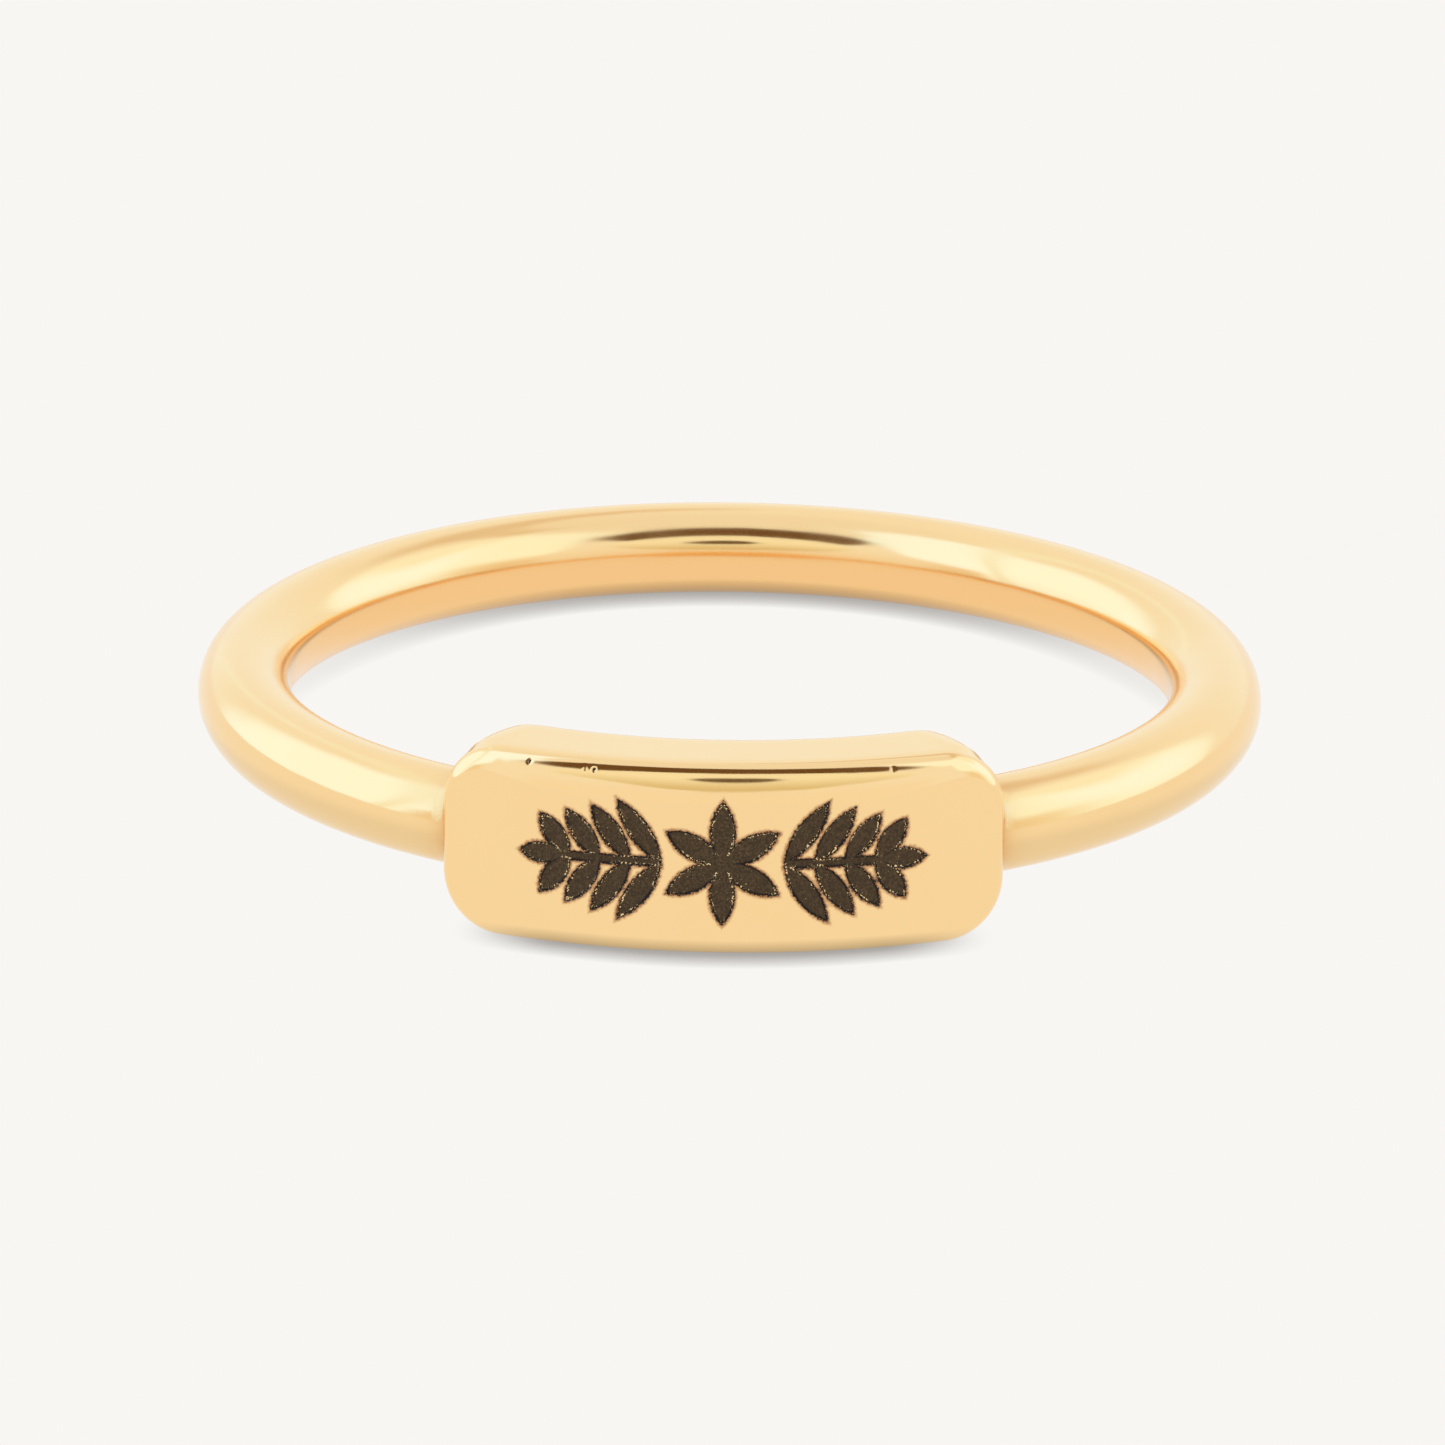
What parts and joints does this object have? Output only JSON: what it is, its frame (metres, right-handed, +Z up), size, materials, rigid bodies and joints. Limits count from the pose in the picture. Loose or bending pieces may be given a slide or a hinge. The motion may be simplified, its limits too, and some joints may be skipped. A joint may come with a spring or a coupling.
{
  "type": "bar ring",
  "caption": "Finger ring lying on its side: a round polished gold wire band soldered to a curved, rounded bar whose front is engraved with a flower between leafy sprigs.",
  "frame": {"origin": "on the surface that the ring lies on, under the middle of its bounding box", "axes": "+X to the right as seen from the front of the bar, along the bar; +Y from the bar to the wire opposite, the ring's longest extent; +Z up, the shortest extent, 3.1 degrees from the ring's own axis because the bar is taller than the wire and lifts its side"},
  "size_m": [0.0206, 0.0209, 0.0038],
  "materials": {
    "gold_plate": "polished yellow gold plate",
    "blackening": "matte brown-black oxide"
  },
  "bodies": {
    "root": {"ring": "gold_plate", "blackening_flower": "blackening", "blackening_sprig_left": "blackening", "blackening_sprig_right": "blackening"}
  },
  "joints": []
}
